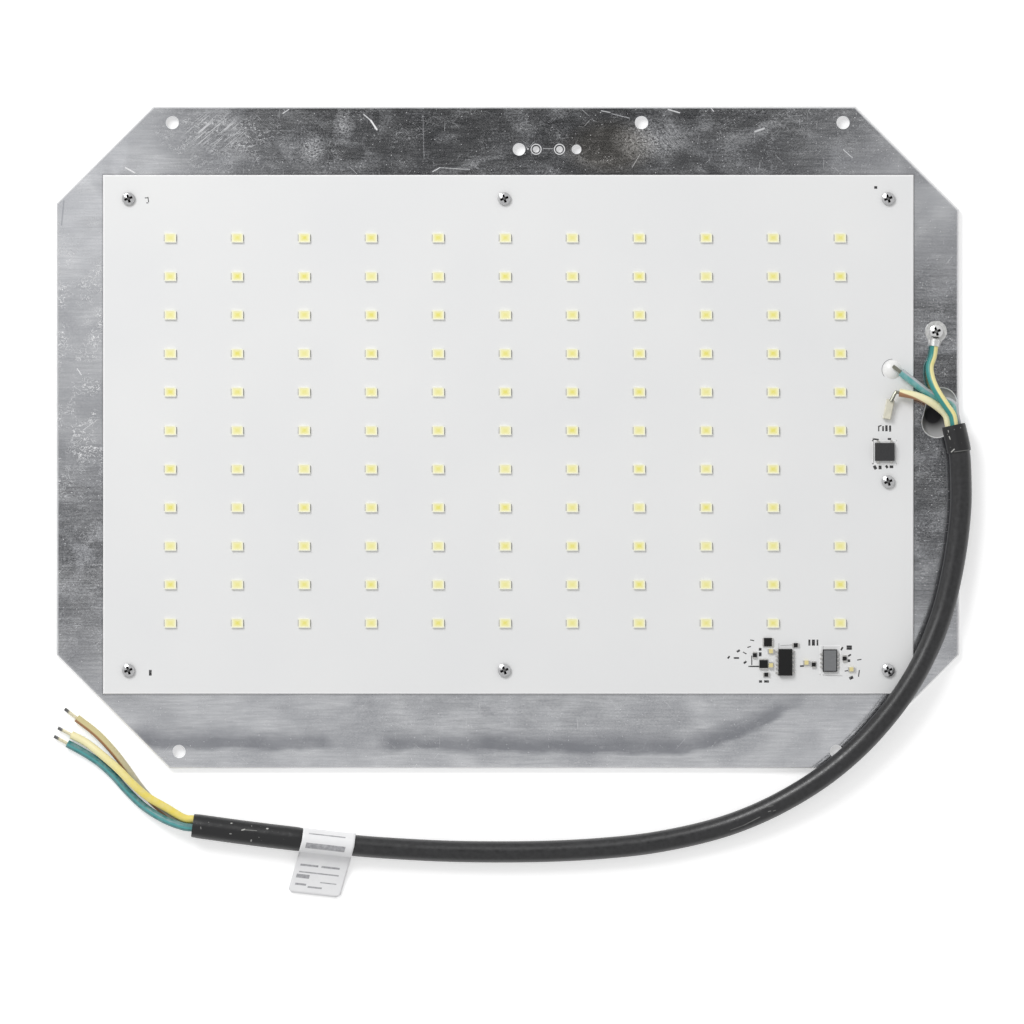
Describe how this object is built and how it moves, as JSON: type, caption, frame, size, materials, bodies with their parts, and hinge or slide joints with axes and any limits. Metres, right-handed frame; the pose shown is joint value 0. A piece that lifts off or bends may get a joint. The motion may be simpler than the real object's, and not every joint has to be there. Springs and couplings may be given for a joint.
{
  "type": "led panel",
  "caption": "Flat LED light engine: white LED board screwed to a cut-cornered aluminium plate, with driver parts on the board and a short three-core supply cable.",
  "frame": {"origin": "middle of the plate's back face, on the surface that the panel lies on", "axes": "+X along the plate's long side, towards the cable slot; +Y along its short side, towards the edge with three holes; +Z out of the lit side"},
  "size_m": [0.2742, 0.2366, 0.0101],
  "materials": {
    "plate": "polished sheet with fine scratches",
    "board": "white satin solder mask on an aluminium core",
    "led_housing": "white moulded reflector",
    "phosphor": "yellow phosphor in clear silicone",
    "tinned": "bright tin",
    "screws": "plated steel",
    "earth_screw": "bright plated steel",
    "chip_black": "black moulding compound",
    "chip_grey": "grey satin metal",
    "capacitor": "tan ceramic",
    "joint": "white sealing silicone",
    "tab": "cream resin",
    "earth_insulation": "yellow with a green stripe",
    "neutral_insulation": "blue-green",
    "live_insulation": "tan brown",
    "jacket": "satin black",
    "sleeve": "black shrink tube",
    "label": "white printed film"
  },
  "bodies": {
    "root": {"mounting_plate": "plate", "led_board": "board", "led_terminals": "tinned", "led_row_01_housings": "led_housing", "led_row_02_housings": "led_housing", "led_row_03_housings": "led_housing", "led_row_04_housings": "led_housing", "led_row_05_housings": "led_housing", "led_row_06_housings": "led_housing", "led_row_07_housings": "led_housing", "led_row_08_housings": "led_housing", "led_row_09_housings": "led_housing", "led_row_10_housings": "led_housing", "led_row_11_housings": "led_housing", "led_row_01_phosphor": "phosphor", "led_row_02_phosphor": "phosphor", "led_row_03_phosphor": "phosphor", "led_row_04_phosphor": "phosphor", "led_row_05_phosphor": "phosphor", "led_row_06_phosphor": "phosphor", "led_row_07_phosphor": "phosphor", "led_row_08_phosphor": "phosphor", "led_row_09_phosphor": "phosphor", "led_row_10_phosphor": "phosphor", "led_row_11_phosphor": "phosphor", "board_screws": "screws", "bridge_rectifier": "chip_black", "bridge_leads": "tinned", "driver_chip": "chip_black", "driver_leads_pair": "tinned", "power_transistor": "chip_black", "power_transistor_top": "chip_grey", "power_leads_pair": "tinned", "chip_resistors": "chip_black", "chip_resistor_ends": "tinned", "chip_capacitors": "capacitor", "chip_capacitor_ends": "tinned", "neutral_joint": "joint", "live_tab": "tab", "ring_terminal": "tinned", "earth_screw": "earth_screw", "earth_core": "earth_insulation", "neutral_core": "neutral_insulation", "live_core": "live_insulation", "neutral_conductor": "tinned", "live_conductor": "tinned", "cable_jacket": "jacket", "entry_sleeve": "sleeve", "tail_sleeve": "sleeve", "earth_tail": "earth_insulation", "neutral_tail": "neutral_insulation", "live_tail": "live_insulation", "earth_tip": "tinned", "neutral_tip": "tinned", "live_tip": "tinned", "cable_label": "label"}
  },
  "joints": []
}
